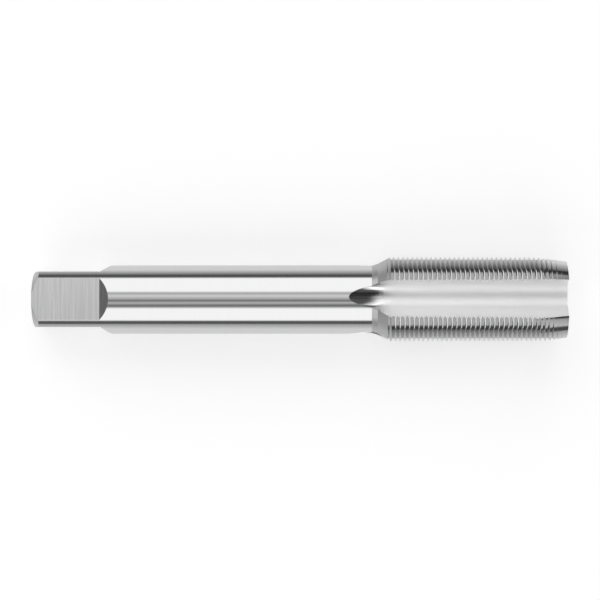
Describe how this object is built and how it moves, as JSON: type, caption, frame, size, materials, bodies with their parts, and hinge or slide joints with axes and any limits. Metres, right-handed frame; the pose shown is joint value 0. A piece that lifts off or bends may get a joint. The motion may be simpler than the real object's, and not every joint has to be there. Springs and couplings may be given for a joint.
{
  "type": "thread tap",
  "caption": "Straight-flute hand tap with a square drive end, plain round shank, fine right-hand thread and a short relieved cutting lead, for cutting a thread in a drilled hole.",
  "frame": {"origin": "on the tool's axis, halfway along its overall length", "axes": "+X along the axis from the square drive end to the cutting tip; +Z out of one flute, square to one flat of the drive; +Y square to the next flat"},
  "size_m": [0.115, 0.0182, 0.0182],
  "materials": {
    "steel": "bright ground"
  },
  "bodies": {
    "root": {"tap": "steel"}
  },
  "joints": []
}
